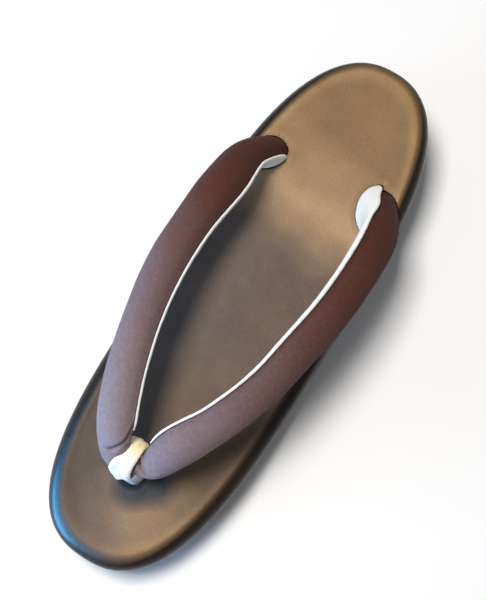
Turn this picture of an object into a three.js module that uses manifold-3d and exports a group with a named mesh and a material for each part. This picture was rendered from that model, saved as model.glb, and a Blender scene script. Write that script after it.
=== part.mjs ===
// Zori sandal: outsole, wedge, foot board, padded strap with its lining, and toe loop.
// Millimetres, +Z up. The toe points to -Y, the heel to +Y, and the ground is Z = 0.

import * as THREE from 'three';
import { mergeVertices } from 'three/addons/utils/BufferGeometryUtils.js';
import Module from 'manifold-3d';

const wasm = await Module();
wasm.setup();

// Driving sizes of the sole
const soleLength = 246;
const soleWidth = 80.2;
const toeRound = { tip: 2.45, flank: 3.64 };
const heelRound = { tip: 2.33, flank: 3.42 };
const roundSteps = 58;

const boardThickness = 8;
const shoulderRun = 6;
const shoulderDrop = 6;
const boardLip = 0.8;
const wedgeInset = 1.7;
const wedgeTaper = 2.4;
const outsoleThickness = 3;
const outsoleInset = 4.6;
const outsoleChamfer = 0.6;
const seam = 0.3;

// Underside: two flats on the ground, a toe spring, a shallow arch and a heel lift
const toeFlatStart = -90;
const archStart = -22;
const archEnd = 48;
const heelFlatEnd = 110;
const toeSpring = 6.5;
const archRise = 2.2;
const heelLift = 0.8;

// Driving sizes of the strap, its lining and the toe loop
const crownShare = 0.97;
const bellyShare = 0.45;
const liningThickness = 1.5;
const liningWrap = THREE.MathUtils.degToRad(10);
const pocketClearance = 0.35;
const liningClearance = 0.6;
const bandWidth = 7;
const bandCentre = { x: -3.2, y: -80.2, rise: 14.6 };
const bandThickness = 2;
const neckRadius = { y: 6.2, z: 5.8 };
const neckWidth = 13;
const postRadius = 4.5;
const postTop = { x: -2.6, y: -83.4, rise: 9 };
const postFoot = { x: 0.4, y: -84.6, rise: -12 };

// Height of the foot board along the sandal
const topProfile = [
  { y: -123, z: 26.5 },
  { y: -85, z: 24.6 },
  { y: -40, z: 25.4 },
  { y: 0, z: 29.6 },
  { y: 40, z: 35.4 },
  { y: 80, z: 39.6 },
  { y: 123, z: 41.6 },
];

// Right arm from the toe joint to its tail; rise is above the foot board, roll turns the crown outwards.
// The tail's belly is fuller than the rest by tailBelly, a share of its half width.
const rightArm = {
  side: 1,
  tailBelly: 0.36,
  rows: [
    { x: -3.6, y: -81.4, rise: 13.6, half: 3.8, roll: 45 },
    { x: 5.4, y: -77.9, rise: 15.8, half: 6.2, roll: 45 },
    { x: 11.6, y: -67.9, rise: 26, half: 8.1, roll: 48 },
    { x: 19.5, y: -52.4, rise: 30.5, half: 8, roll: 50 },
    { x: 26.8, y: -32.2, rise: 30.8, half: 7.8, roll: 52 },
    { x: 30.8, y: -11.6, rise: 28.8, half: 8.1, roll: 52 },
    { x: 33.8, y: 9, rise: 25, half: 8.2, roll: 53 },
    { x: 34.4, y: 31.2, rise: 19.1, half: 8.4, roll: 56 },
    { x: 32.6, y: 49.2, rise: 10.2, half: 8.9, roll: 64 },
    { x: 26.4, y: 63.2, rise: -3, half: 9, roll: 98 },
    { x: 24.4, y: 66.1, rise: -13, half: 8.6, roll: 104 },
  ],
};

// Left arm, in the same columns
const leftArm = {
  side: -1,
  tailBelly: 0.12,
  rows: [
    { x: 0.4, y: -80.4, rise: 13.8, half: 4.6, roll: 45 },
    { x: -8.9, y: -81, rise: 15.8, half: 6.6, roll: 42 },
    { x: -14.7, y: -70.2, rise: 26, half: 8.5, roll: 40 },
    { x: -21.3, y: -53.2, rise: 30.5, half: 8.6, roll: 39 },
    { x: -27.2, y: -32.3, rise: 30.8, half: 8.5, roll: 39 },
    { x: -30.8, y: -11.3, rise: 28.8, half: 9.1, roll: 40 },
    { x: -31.8, y: 10.7, rise: 25, half: 9.3, roll: 40 },
    { x: -30.8, y: 32.4, rise: 19.1, half: 10.3, roll: 40 },
    { x: -30.6, y: 49.2, rise: 10.4, half: 8.7, roll: 45 },
    { x: -26.2, y: 60.6, rise: -2.5, half: 7.4, roll: 64 },
    { x: -24.8, y: 62.8, rise: -13, half: 7, roll: 74 },
  ],
};

const armStations = 36;
const armEnd = 0.985;
const tailStart = 0.8;
const tailFull = 0.88;
const sectionSteps = 16;

// Reads the profile table as one smooth line through its rows
function topHeight(y) {
  const rows = topProfile;
  const inside = THREE.MathUtils.clamp(y, rows[0].y, rows[rows.length - 1].y);
  const last = rows.length - 2;
  const index = Math.min(last, rows.findIndex((row, i) => i <= last && inside <= rows[i + 1].y));
  const slope = (i) => {
    const low = rows[Math.max(0, i - 1)];
    const high = rows[Math.min(rows.length - 1, i + 1)];
    return (high.z - low.z) / (high.y - low.y);
  };
  const start = rows[index];
  const end = rows[index + 1];
  const span = end.y - start.y;
  const t = (inside - start.y) / span;
  const t2 = t * t;
  const t3 = t2 * t;
  return start.z * (2 * t3 - 3 * t2 + 1) + end.z * (3 * t2 - 2 * t3)
    + span * (slope(index) * (t3 - 2 * t2 + t) + slope(index + 1) * (t3 - t2));
}

function groundHeight(y) {
  const halfLength = soleLength / 2;
  if (y < toeFlatStart) {
    const share = (toeFlatStart - y) / (halfLength + toeFlatStart);
    return toeSpring * share * share;
  }
  if (y > archStart && y < archEnd) {
    const share = (y - archStart) / (archEnd - archStart);
    return archRise * Math.sin(Math.PI * share) ** 2;
  }
  if (y > heelFlatEnd) {
    const share = (y - heelFlatEnd) / (halfLength - heelFlatEnd);
    return heelLift * share * share;
  }
  return 0;
}

// Point on the oval of the sole: a low tip number rounds its ends, a high flank number fills its sides
function solePoint(angle, halfWidth, halfLength) {
  const across = Math.sin(angle);
  const along = -Math.cos(angle);
  const round = along < 0 ? toeRound : heelRound;
  const x = halfWidth * Math.sign(across) * Math.abs(across) ** (2 / round.tip);
  const y = halfLength * Math.sign(along) * Math.abs(along) ** (2 / round.flank);
  return new THREE.Vector2(x, y);
}

// Angles that space the points of the oval evenly along its edge
function evenAngles() {
  const fine = 1440;
  const lengths = [0];
  let before = solePoint(0, soleWidth / 2, soleLength / 2);
  for (let i = 1; i <= fine; i += 1) {
    const here = solePoint((2 * Math.PI * i) / fine, soleWidth / 2, soleLength / 2);
    lengths.push(lengths[i - 1] + here.distanceTo(before));
    before = here;
  }
  const angles = [];
  for (let i = 0; i < roundSteps; i += 1) {
    const wanted = (lengths[fine] * i) / roundSteps;
    const next = Math.max(1, lengths.findIndex((length) => length >= wanted));
    const share = (wanted - lengths[next - 1]) / (lengths[next] - lengths[next - 1]);
    angles.push((2 * Math.PI * (next - 1 + share)) / fine);
  }
  return angles;
}

const ringAngles = evenAngles();

// One turn round the sole; inset draws it in, share shrinks it towards the middle
function soleRing(inset, share, height) {
  return ringAngles.map((angle) => {
    const spot = solePoint(angle, soleWidth / 2 - inset, soleLength / 2 - inset).multiplyScalar(share);
    return new THREE.Vector3(spot.x, spot.y, height(spot.y));
  });
}

// Closed skin over rings of equal length, with a fan at each end; from the fold on, the quads split the other way
function skin(rings, turned = false, fold = rings.length) {
  const count = rings[0].length;
  const middle = (ring) => ring.reduce((sum, p) => sum.add(p), new THREE.Vector3()).divideScalar(count);
  const points = rings.flat();
  const first = points.length;
  points.push(middle(rings[0]), middle(rings[rings.length - 1]));
  const faces = [];
  const addFace = (a, b, c) => faces.push(...(turned ? [a, c, b] : [a, b, c]));
  rings.forEach((ring, r) => {
    for (let i = 0; i < count; i += 1) {
      const next = (i + 1) % count;
      const here = r * count;
      if (r < rings.length - 1) {
        const from = r < fold ? i : next;
        const to = r < fold ? next : i;
        addFace(here + i, here + next, here + count + to);
        addFace(here + from, here + count + next, here + count + i);
      }
      if (r === 0) addFace(first, next, i);
      if (r === rings.length - 1) addFace(first + 1, here + i, here + next);
    }
  });
  const geometry = new THREE.BufferGeometry();
  geometry.setAttribute('position', new THREE.Float32BufferAttribute(points.flatMap((p) => p.toArray()), 3));
  geometry.setIndex(faces);
  return geometry;
}

function toSolid(geometry) {
  const bare = geometry.clone();
  bare.deleteAttribute('normal');
  bare.deleteAttribute('uv');
  const merged = mergeVertices(bare, 1e-4);
  return new wasm.Manifold(new wasm.Mesh({
    numProp: 3,
    vertProperties: new Float32Array(merged.attributes.position.array),
    triVerts: new Uint32Array(merged.index.array),
  }));
}

function toGeometry(solid) {
  const mesh = solid.getMesh();
  const geometry = new THREE.BufferGeometry();
  geometry.setAttribute('position', new THREE.BufferAttribute(mesh.vertProperties, 3));
  geometry.setIndex(new THREE.BufferAttribute(mesh.triVerts, 1));
  return geometry;
}

// Sole: each layer is a stack of rings from its underside to its upper face.
// Faces that lie on each other share their rings, so that they keep one seam's gap all over.
const capShares = [0.22, 0.45, 0.68, 0.88];
const outsoleJoint = outsoleInset + 1;
const boardJoint = wedgeInset + 1;

function layer(underside, underInset, side, upperSide, upperInset) {
  const rings = [];
  capShares.forEach((share) => rings.push(soleRing(underInset, share, underside)));
  side.forEach((row) => rings.push(soleRing(row.inset, 1, row.height)));
  [...capShares].reverse().forEach((share) => rings.push(soleRing(upperInset, share, upperSide)));
  return skin(rings, false, capShares.length + side.length - 1);
}

function outsoleShape() {
  const lower = (y) => groundHeight(y);
  const upper = (y) => groundHeight(y) + outsoleThickness;
  return layer(lower, outsoleJoint, [
    { inset: outsoleInset + outsoleChamfer, height: lower },
    { inset: outsoleInset, height: (y) => lower(y) + outsoleChamfer },
    { inset: outsoleInset, height: upper },
  ], upper, outsoleJoint);
}

function wedgeShape() {
  const lower = (y) => groundHeight(y) + outsoleThickness + seam;
  const upper = (y) => topHeight(y) - boardThickness - seam;
  const between = (share) => (y) => THREE.MathUtils.lerp(lower(y), upper(y), share);
  const lowInset = wedgeInset + wedgeTaper;
  return layer(lower, outsoleJoint, [
    { inset: outsoleInset, height: lower },
    { inset: lowInset, height: (y) => lower(y) + 0.8 },
    { inset: THREE.MathUtils.lerp(lowInset, wedgeInset, 0.6), height: between(0.5) },
    { inset: wedgeInset, height: (y) => upper(y) - 0.6 },
    { inset: wedgeInset + 0.4, height: upper },
  ], upper, boardJoint);
}

function boardShape() {
  const lower = (y) => topHeight(y) - boardThickness;
  const side = [
    { inset: boardLip + 0.4, height: lower },
    { inset: 0.2, height: (y) => lower(y) + 0.8 },
  ];
  const shoulderSteps = 5;
  for (let i = shoulderSteps; i >= 0; i -= 1) {
    const turn = (Math.PI / 2) * (i / shoulderSteps);
    const inset = shoulderRun * (1 - Math.sin(turn));
    const drop = shoulderDrop * (1 - Math.cos(turn));
    side.push({ inset, height: (y) => topHeight(y) - drop });
  }
  return layer(lower, boardJoint, side, topHeight, shoulderRun);
}

// Strap: a run of stations along an arm, each with its centre, its size and its two axes
function armRun(arm) {
  const path = new THREE.CatmullRomCurve3(
    arm.rows.map((row) => new THREE.Vector3(row.x, row.y, topHeight(row.y) + row.rise)), false, 'catmullrom', 0.5);
  const form = new THREE.CatmullRomCurve3(
    arm.rows.map((row) => new THREE.Vector3(row.half, row.roll, 0)), false, 'catmullrom', 0.5);
  return (u) => {
    const along = path.getTangent(u);
    const up = new THREE.Vector3(0, 0, 1).addScaledVector(along, -along.z).normalize();
    const out = new THREE.Vector3().crossVectors(along, up).multiplyScalar(arm.side);
    const { x: half, y: roll } = form.getPoint(u);
    const angle = THREE.MathUtils.degToRad(roll);
    const crown = up.clone().multiplyScalar(Math.cos(angle)).addScaledVector(out, Math.sin(angle));
    const edge = up.clone().multiplyScalar(Math.sin(angle)).addScaledVector(out, -Math.cos(angle));
    const belly = bellyShare + arm.tailBelly * THREE.MathUtils.smoothstep(u, tailStart, tailFull);
    return { centre: path.getPoint(u), half, belly, crown, edge };
  };
}

// Point on the padded section, moved out by a distance along its own normal
function sectionPoint(station, angle, grow) {
  const { centre, half, belly, crown, edge } = station;
  const depth = half * (Math.sin(angle) > 0 ? crownShare : belly);
  const normal = new THREE.Vector2(Math.cos(angle) / half, Math.sin(angle) / depth).normalize();
  return centre.clone()
    .addScaledVector(edge, half * Math.cos(angle) + grow * normal.x)
    .addScaledVector(crown, depth * Math.sin(angle) + grow * normal.y);
}

function sectionRing(station, crownGrow, bellyGrow) {
  const ring = [];
  for (let i = 0; i < sectionSteps; i += 1) {
    const crown = i > 0 && i < sectionSteps / 2;
    ring.push(sectionPoint(station, (2 * Math.PI * i) / sectionSteps, crown ? crownGrow : bellyGrow));
  }
  return ring;
}

function armShape(arm, crownGrow, bellyGrow, first, last) {
  const run = armRun(arm);
  const rings = [];
  for (let i = first; i <= last; i += 1) {
    rings.push(sectionRing(run(Math.min(1, (armEnd * i) / armStations)), crownGrow, bellyGrow));
  }
  return skin(rings, arm.side < 0);
}

// Lining: a strip that follows the belly of the section at the strap's own stations, a seam away from it
const liningFirst = 6;
const liningLast = 35;

function liningRing(station) {
  const sectionStep = (2 * Math.PI) / sectionSteps;
  const angles = [liningWrap];
  for (let angle = sectionStep; angle < Math.PI - liningWrap; angle += sectionStep) angles.push(angle);
  angles.push(Math.PI - liningWrap);
  const far = angles.map((angle) => sectionPoint(station, -angle, seam + liningThickness));
  const near = angles.map((angle) => sectionPoint(station, -angle, seam));
  return [...far.reverse(), ...near];
}

function liningShape(arm) {
  const run = armRun(arm);
  const rings = [];
  for (let i = liningFirst; i <= liningLast; i += 1) {
    rings.push(liningRing(run((armEnd * i) / armStations)));
  }
  return skin(rings, arm.side < 0);
}

// Toe loop: a band round the neck that joins the arms, and the post under it
function neckBar(grow, width, hollow) {
  const outline = new THREE.Shape();
  outline.absellipse(0, 0, neckRadius.y + grow, neckRadius.z + grow, 0, 2 * Math.PI, false, 0);
  if (hollow) {
    const hole = new THREE.Path();
    hole.absellipse(0, 0, neckRadius.y + seam, neckRadius.z + seam, 0, 2 * Math.PI, true, 0);
    outline.holes.push(hole);
  }
  const bar = new THREE.ExtrudeGeometry(outline, {
    depth: width, curveSegments: 24, steps: 1, bevelEnabled: false,
  });
  bar.translate(0, 0, -width / 2);
  bar.rotateX(Math.PI / 2);
  bar.rotateZ(Math.PI / 2);
  bar.translate(bandCentre.x, bandCentre.y, topHeight(bandCentre.y) + bandCentre.rise);
  return bar;
}

function postShape(grow) {
  const top = new THREE.Vector3(postTop.x, postTop.y, topHeight(postTop.y) + postTop.rise);
  const foot = new THREE.Vector3(postFoot.x, postFoot.y, topHeight(postFoot.y) + postFoot.rise);
  const post = new THREE.CapsuleGeometry(postRadius + grow, top.distanceTo(foot) - 2 * postRadius, 4, 20);
  const lean = new THREE.Quaternion().setFromUnitVectors(
    new THREE.Vector3(0, 1, 0), top.clone().sub(foot).normalize());
  post.applyQuaternion(lean);
  post.translate(...top.add(foot).multiplyScalar(0.5).toArray());
  return post;
}

const tailFirst = 27;
const tailGrow = seam + liningThickness + liningClearance;

function bothArms(crownGrow, bellyGrow, first, last) {
  return toSolid(armShape(rightArm, crownGrow, bellyGrow, first, last))
    .add(toSolid(armShape(leftArm, crownGrow, bellyGrow, first, last)));
}

const bandGrow = seam + bandThickness;
const loopRoom = toSolid(neckBar(bandGrow + seam, bandWidth + 2 * seam, false)).add(toSolid(postShape(seam)));
const neckRoom = toSolid(neckBar(seam, neckWidth, false));
const strapSolid = bothArms(0, 0, 0, armStations)
  .subtract(loopRoom)
  .add(toSolid(neckBar(0, neckWidth, false)));
const pockets = bothArms(pocketClearance, tailGrow, tailFirst, armStations + 1).add(toSolid(postShape(seam)));
const boardSolid = toSolid(boardShape()).subtract(pockets);
const wedgeSolid = toSolid(wedgeShape()).subtract(pockets);
const loopSolid = toSolid(neckBar(bandGrow, bandWidth, true))
  .add(toSolid(postShape(0)).subtract(neckRoom));
const liningRoom = bothArms(seam / 2, seam / 2, 0, armStations).add(loopRoom).add(neckRoom);
const liningSolid = (arm) => toSolid(liningShape(arm)).subtract(liningRoom);

const bronze = { color: 0x6a594a, roughness: 0.42, metalness: 0.1 };
const darkBronze = { color: 0x3b3129, roughness: 0.4, metalness: 0.1 };
const sandal = new THREE.Group();

function addPiece(name, geometry, finish) {
  const mesh = new THREE.Mesh(geometry, new THREE.MeshStandardMaterial(finish));
  mesh.name = name;
  sandal.add(mesh);
}

addPiece('outsole', outsoleShape(), { color: 0x2a2725, roughness: 0.85, metalness: 0 });
addPiece('sole_body', toGeometry(wedgeSolid), darkBronze);
addPiece('top_board', toGeometry(boardSolid), bronze);
addPiece('strap', toGeometry(strapSolid), { color: 0x86666c, roughness: 0.95, metalness: 0 });
addPiece('lining_right', toGeometry(liningSolid(rightArm)), { color: 0xe9e4da, roughness: 0.9, metalness: 0 });
addPiece('lining_left', toGeometry(liningSolid(leftArm)), { color: 0xe9e4da, roughness: 0.9, metalness: 0 });
addPiece('toe_loop', toGeometry(loopSolid), { color: 0xf1ecdf, roughness: 0.85, metalness: 0 });

// The middle of the whole sandal's box stands on the origin
const box = new THREE.Box3().setFromObject(sandal);
sandal.position.set(-(box.min.x + box.max.x) / 2, -(box.min.y + box.max.y) / 2, -box.min.z);
sandal.updateMatrixWorld(true);

export default sandal;
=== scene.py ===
import math

import bmesh
import bpy
import numpy as np
from mathutils import Matrix, Vector, kdtree, noise


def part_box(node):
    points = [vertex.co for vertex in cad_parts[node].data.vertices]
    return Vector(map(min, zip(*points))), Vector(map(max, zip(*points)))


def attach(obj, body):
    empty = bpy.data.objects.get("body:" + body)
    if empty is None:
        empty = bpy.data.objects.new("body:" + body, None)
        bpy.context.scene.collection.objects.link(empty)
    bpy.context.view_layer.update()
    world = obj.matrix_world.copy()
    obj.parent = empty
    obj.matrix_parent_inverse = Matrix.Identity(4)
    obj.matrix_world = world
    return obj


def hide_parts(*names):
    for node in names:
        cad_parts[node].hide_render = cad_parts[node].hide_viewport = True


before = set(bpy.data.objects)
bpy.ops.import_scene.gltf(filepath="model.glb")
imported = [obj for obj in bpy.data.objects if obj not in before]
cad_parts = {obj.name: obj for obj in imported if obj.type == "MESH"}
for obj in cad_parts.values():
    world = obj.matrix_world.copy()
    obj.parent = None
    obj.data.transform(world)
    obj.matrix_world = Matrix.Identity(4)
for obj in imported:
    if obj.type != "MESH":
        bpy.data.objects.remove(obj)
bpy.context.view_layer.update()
mm = 0.001
print("frame loaded,", len(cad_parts), "nodes")

# The sole's own middle line; the strap leans a little to one side of it
boardLow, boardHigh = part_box("top_board")
axisX = (boardLow.x + boardHigh.x) / 2 / mm

# Sizes of the sole, in millimetres, as in the solids
sole = {
    "length": round((boardHigh.y - boardLow.y) / mm, 1), "width": round((boardHigh.x - boardLow.x) / mm, 1),
    "toeRound": (2.45, 3.64), "heelRound": (2.33, 3.42),  # powers of the oval, across and along
    "board": 8.0, "shoulderRun": 6.0, "shoulderDrop": 6.0,
    "wedgeInset": 1.7, "wedgeTaper": 2.4,
    "outsole": 3.0, "outsoleInset": 4.6, "seam": 0.3,
}
# y and height of the foot board along its middle
topRows = [(-123, 26.5), (-85, 24.6), (-40, 25.4), (0, 29.6), (40, 35.4), (80, 39.6), (123, 41.6)]
# where the two flats on the ground start and end, and how far the sole lifts off it
ground = {
    "toeFlat": -90.0, "archStart": -22.0, "archEnd": 48.0, "heelFlat": 110.0,
    "toe": 6.5, "arch": 2.2, "heel": 0.8,
}


def topHeight(y):
    # foot board height, a smooth line through its rows
    rows = topRows
    y = min(max(y, rows[0][0]), rows[-1][0])
    i = next(k for k in range(len(rows) - 1) if y <= rows[k + 1][0])

    def slope(k):
        low, high = rows[max(0, k - 1)], rows[min(len(rows) - 1, k + 1)]
        return (high[1] - low[1]) / (high[0] - low[0])

    span = rows[i + 1][0] - rows[i][0]
    t = (y - rows[i][0]) / span
    return (rows[i][1] * (2 * t**3 - 3 * t**2 + 1) + rows[i + 1][1] * (3 * t**2 - 2 * t**3)
            + span * (slope(i) * (t**3 - 2 * t**2 + t) + slope(i + 1) * (t**3 - t**2)))


def groundHeight(y):
    # underside of the sole: toe spring, arch and heel lift
    half = sole["length"] / 2
    if y < ground["toeFlat"]:
        return ground["toe"] * ((ground["toeFlat"] - y) / (half + ground["toeFlat"])) ** 2
    if ground["archStart"] < y < ground["archEnd"]:
        share = (y - ground["archStart"]) / (ground["archEnd"] - ground["archStart"])
        return ground["arch"] * math.sin(math.pi * share) ** 2
    if y > ground["heelFlat"]:
        return ground["heel"] * ((y - ground["heelFlat"]) / (half - ground["heelFlat"])) ** 2
    return 0.0


def solePoint(angle, inset, share=1.0):
    # a point of the oval, drawn in from its edge and shrunk towards its middle
    across, along = math.sin(angle), -math.cos(angle)
    tip, flank = sole["toeRound"] if along < 0 else sole["heelRound"]
    x = share * (sole["width"] / 2 - inset) * math.copysign(abs(across) ** (2 / tip), across)
    y = share * (sole["length"] / 2 - inset) * math.copysign(abs(along) ** (2 / flank), along)
    return x, y


def evenAngles(count):
    # angles that space points evenly along the oval's edge
    fine = 7200
    spots = np.array([solePoint(2 * math.pi * k / fine, 0) for k in range(fine + 1)])
    lengths = np.concatenate(([0], np.cumsum(np.linalg.norm(np.diff(spots, axis=0), axis=1))))
    wanted = lengths[-1] * np.arange(count) / count
    return [float(v) for v in np.interp(wanted, lengths, np.arange(fine + 1)) * 2 * math.pi / fine]


# Helpers for making pieces
def smoothStep(low, high, value):
    t = min(1.0, max(0.0, (value - low) / (high - low)))
    return t * t * (3 - 2 * t)


def bell(value, middle, width):
    return math.exp(-((value - middle) / width) ** 2)


def ripple(x, y, z, size, seed=0.0):
    # soft lumps of about the given size, from -1 to 1
    return noise.noise(Vector((x / size + seed, y / size - seed, z / size + 2 * seed)))


def meshFromRings(name, rings, closed=False):
    # a skin over rings of equal length, in millimetres; its ends are capped unless the run is closed
    count = len(rings[0])
    points = [p for ring in rings for p in ring]
    faces = []
    for r in range(len(rings) if closed else len(rings) - 1):
        here, after = r * count, ((r + 1) % len(rings)) * count
        for i in range(count):
            j = (i + 1) % count
            faces.append((here + i, here + j, after + j, after + i))
    ends = [] if closed else [0, len(rings) - 1]
    for r in ends:
        points.append(tuple(sum(p[k] for p in rings[r]) / count for k in range(3)))
        hub = len(points) - 1
        for i in range(count):
            a, b = r * count + i, r * count + (i + 1) % count
            faces.append((a, b, hub) if r else (b, a, hub))
    mesh = bpy.data.meshes.new(name)
    mesh.from_pydata([(x * mm, y * mm, z * mm) for x, y, z in points], [], faces)
    mesh.validate()
    piece = bpy.data.objects.new(name, mesh)
    bpy.context.scene.collection.objects.link(piece)
    faceOutwards(piece)
    shadeSmooth(piece)
    return piece


def faceOutwards(piece):
    work = bmesh.new()
    work.from_mesh(piece.data)
    bmesh.ops.recalc_face_normals(work, faces=work.faces)
    work.to_mesh(piece.data)
    work.free()


def shadeSmooth(piece):
    piece.data.polygons.foreach_set("use_smooth", [True] * len(piece.data.polygons))


def applyModifiers(piece):
    graph = bpy.context.evaluated_depsgraph_get()
    done = bpy.data.meshes.new_from_object(piece.evaluated_get(graph))
    piece.modifiers.clear()
    old = piece.data
    piece.data = done
    done.name = piece.name
    bpy.data.meshes.remove(old)


def place(piece, slot, *nodes):
    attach(piece, "root")
    for node in nodes:
        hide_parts(node)
    print("piece", piece.name, len(piece.data.polygons), "faces")


# Helpers for materials
class Paint:
    # a node material with its Principled shader, and short ways to add and join nodes
    def __init__(self, name):
        self.material = bpy.data.materials.new(name)
        self.material.use_nodes = True
        self.tree = self.material.node_tree
        self.shader = next(n for n in self.tree.nodes if n.type == "BSDF_PRINCIPLED")
        self.coords = self.add("ShaderNodeTexCoord")

    def add(self, kind, **settings):
        node = self.tree.nodes.new(kind)
        for key, value in settings.items():
            setattr(node, key, value)
        return node

    def join(self, source, target):
        self.tree.links.new(source, target)

    def fix(self, **values):
        # fixed values on the shader's own sockets
        for key, value in values.items():
            self.shader.inputs[key.replace("_", " ")].default_value = value

    def axis(self, name):
        node = self.add("ShaderNodeSeparateXYZ")
        self.join(self.coords.outputs["Object"], node.inputs["Vector"])
        return node.outputs[name]

    def threads(self, degrees):
        # the cloth's own coordinates, turned by an angle
        node = self.add("ShaderNodeMapping")
        node.inputs["Rotation"].default_value = (0, 0, math.radians(degrees))
        self.join(self.coords.outputs["UV"], node.inputs["Vector"])
        return node.outputs["Vector"]

    def noise(self, scale, detail=3.0, rough=0.55):
        node = self.add("ShaderNodeTexNoise")
        node.inputs["Scale"].default_value = scale
        node.inputs["Detail"].default_value = detail
        node.inputs["Roughness"].default_value = rough
        self.join(self.coords.outputs["Object"], node.inputs["Vector"])
        return node.outputs["Fac"]

    def cells(self, scale):
        node = self.add("ShaderNodeTexVoronoi")
        node.inputs["Scale"].default_value = scale
        self.join(self.coords.outputs["Object"], node.inputs["Vector"])
        return node.outputs["Distance"]

    def wave(self, scale, vector, direction, distortion):
        node = self.add("ShaderNodeTexWave", bands_direction=direction)
        node.inputs["Scale"].default_value = scale
        node.inputs["Distortion"].default_value = distortion
        node.inputs["Detail"].default_value = 1.0
        self.join(vector, node.inputs["Vector"])
        return node.outputs["Fac"]

    def weave(self, scale, degrees, distortion):
        # threads that cross, from 0 between them to 1 on their crowns
        vector = self.threads(degrees)
        warp = self.wave(scale, vector, "X", distortion)
        weft = self.wave(scale, vector, "Y", distortion)
        return self.maths("MULTIPLY", warp, weft)

    def ramp(self, source, stops, smooth="LINEAR"):
        node = self.add("ShaderNodeValToRGB")
        node.color_ramp.interpolation = smooth
        line = node.color_ramp.elements
        while len(line) < len(stops):
            line.new(0.5)
        for element, (spot, colour) in zip(line, stops):
            element.position = spot
            element.color = (*colour, 1)
        self.join(source, node.inputs["Fac"])
        return node.outputs["Color"]

    def spread(self, source, low, high, newLow, newHigh):
        node = self.add("ShaderNodeMapRange")
        for key, value in zip(("From Min", "From Max", "To Min", "To Max"), (low, high, newLow, newHigh)):
            node.inputs[key].default_value = value
        self.join(source, node.inputs["Value"])
        return node.outputs["Result"]

    def wander(self, scale, detail, low, high):
        # a value that drifts between two others
        return self.spread(self.noise(scale, detail), 0.3, 0.7, low, high)

    def mottle(self, scale, detail, low, high, rough=0.55):
        # a colour that drifts between two others
        return self.ramp(self.noise(scale, detail, rough), [(0.3, low), (0.7, high)])

    def maths(self, how, a, b=0.0):
        node = self.add("ShaderNodeMath", operation=how)
        for k, value in enumerate((a, b)):
            if isinstance(value, (int, float)):
                node.inputs[k].default_value = value
            else:
                self.join(value, node.inputs[k])
        return node.outputs["Value"]

    def blend(self, share, a, b, how="MIX"):
        node = self.add("ShaderNodeMix", data_type="RGBA", blend_type=how)
        for key, value in (("Factor", share), ("A", a), ("B", b)):
            socket = next(s for s in node.inputs if s.name == key and s.enabled)
            if isinstance(value, (int, float)):
                socket.default_value = value
            elif isinstance(value, tuple):
                socket.default_value = (*value, 1)
            else:
                self.join(value, socket)
        return next(s for s in node.outputs if s.enabled)

    def bump(self, *layers):
        # each layer is a height, its depth in metres and its strength
        normal = None
        for height, depth, strength in layers:
            node = self.add("ShaderNodeBump")
            node.inputs["Distance"].default_value = depth
            node.inputs["Strength"].default_value = strength
            self.join(height, node.inputs["Height"])
            if normal is not None:
                self.join(normal, node.inputs["Normal"])
            normal = node.outputs["Normal"]
        self.join(normal, self.shader.inputs["Normal"])

    def colour(self, source):
        self.join(source, self.shader.inputs["Base Color"])

    def rough(self, source):
        self.join(source, self.shader.inputs["Roughness"])


def grey(value):
    return (value, value, value)


def wear(paint, *pieces):
    for piece in pieces:
        piece.data.materials.clear()
        piece.data.materials.append(paint.material)


# Camera, fitted to the outline of the sandal in the photograph
view = {
    "azimuth": 28.54, "elevation": 74.74, "roll": 33.33, "distance": 451.06, "aim": (0.0, 0.0, 33.0),
    "focalPixels": 905.0, "photoHeight": 600, "zoom": 1.19, "shift": (-0.0045, 0.0022), "film": 36.0,
}


def cameraAxes():
    # directions of the picture's right and up, and from the sandal back to the camera
    azimuth, elevation, roll = (math.radians(view[k]) for k in ("azimuth", "elevation", "roll"))
    flatReach = math.cos(elevation)
    back = Vector((math.sin(azimuth) * flatReach, -math.cos(azimuth) * flatReach, math.sin(elevation)))
    flat = Vector((0, 1, 0)).cross(back).normalized()
    rise = back.cross(flat)
    right = math.cos(roll) * flat + math.sin(roll) * rise
    up = -math.sin(roll) * flat + math.cos(roll) * rise
    return right, up, back


def addCamera():
    right, up, back = cameraAxes()
    aim = Vector((view["aim"][0] + axisX, view["aim"][1], view["aim"][2])) * mm
    eye = aim + back * view["distance"] * mm
    data = bpy.data.cameras.new("camera")
    data.lens = view["focalPixels"] * view["zoom"] * view["film"] / view["photoHeight"]
    data.sensor_width = view["film"]
    data.shift_x, data.shift_y = view["shift"]
    data.clip_start = 0.01
    camera = bpy.data.objects.new("camera", data)
    camera.matrix_world = Matrix((
        (right.x, up.x, back.x, eye.x), (right.y, up.y, back.y, eye.y),
        (right.z, up.z, back.z, eye.z), (0, 0, 0, 1)))
    bpy.context.scene.collection.objects.link(camera)
    bpy.context.scene.camera = camera


addCamera()
print("camera done")

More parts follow.
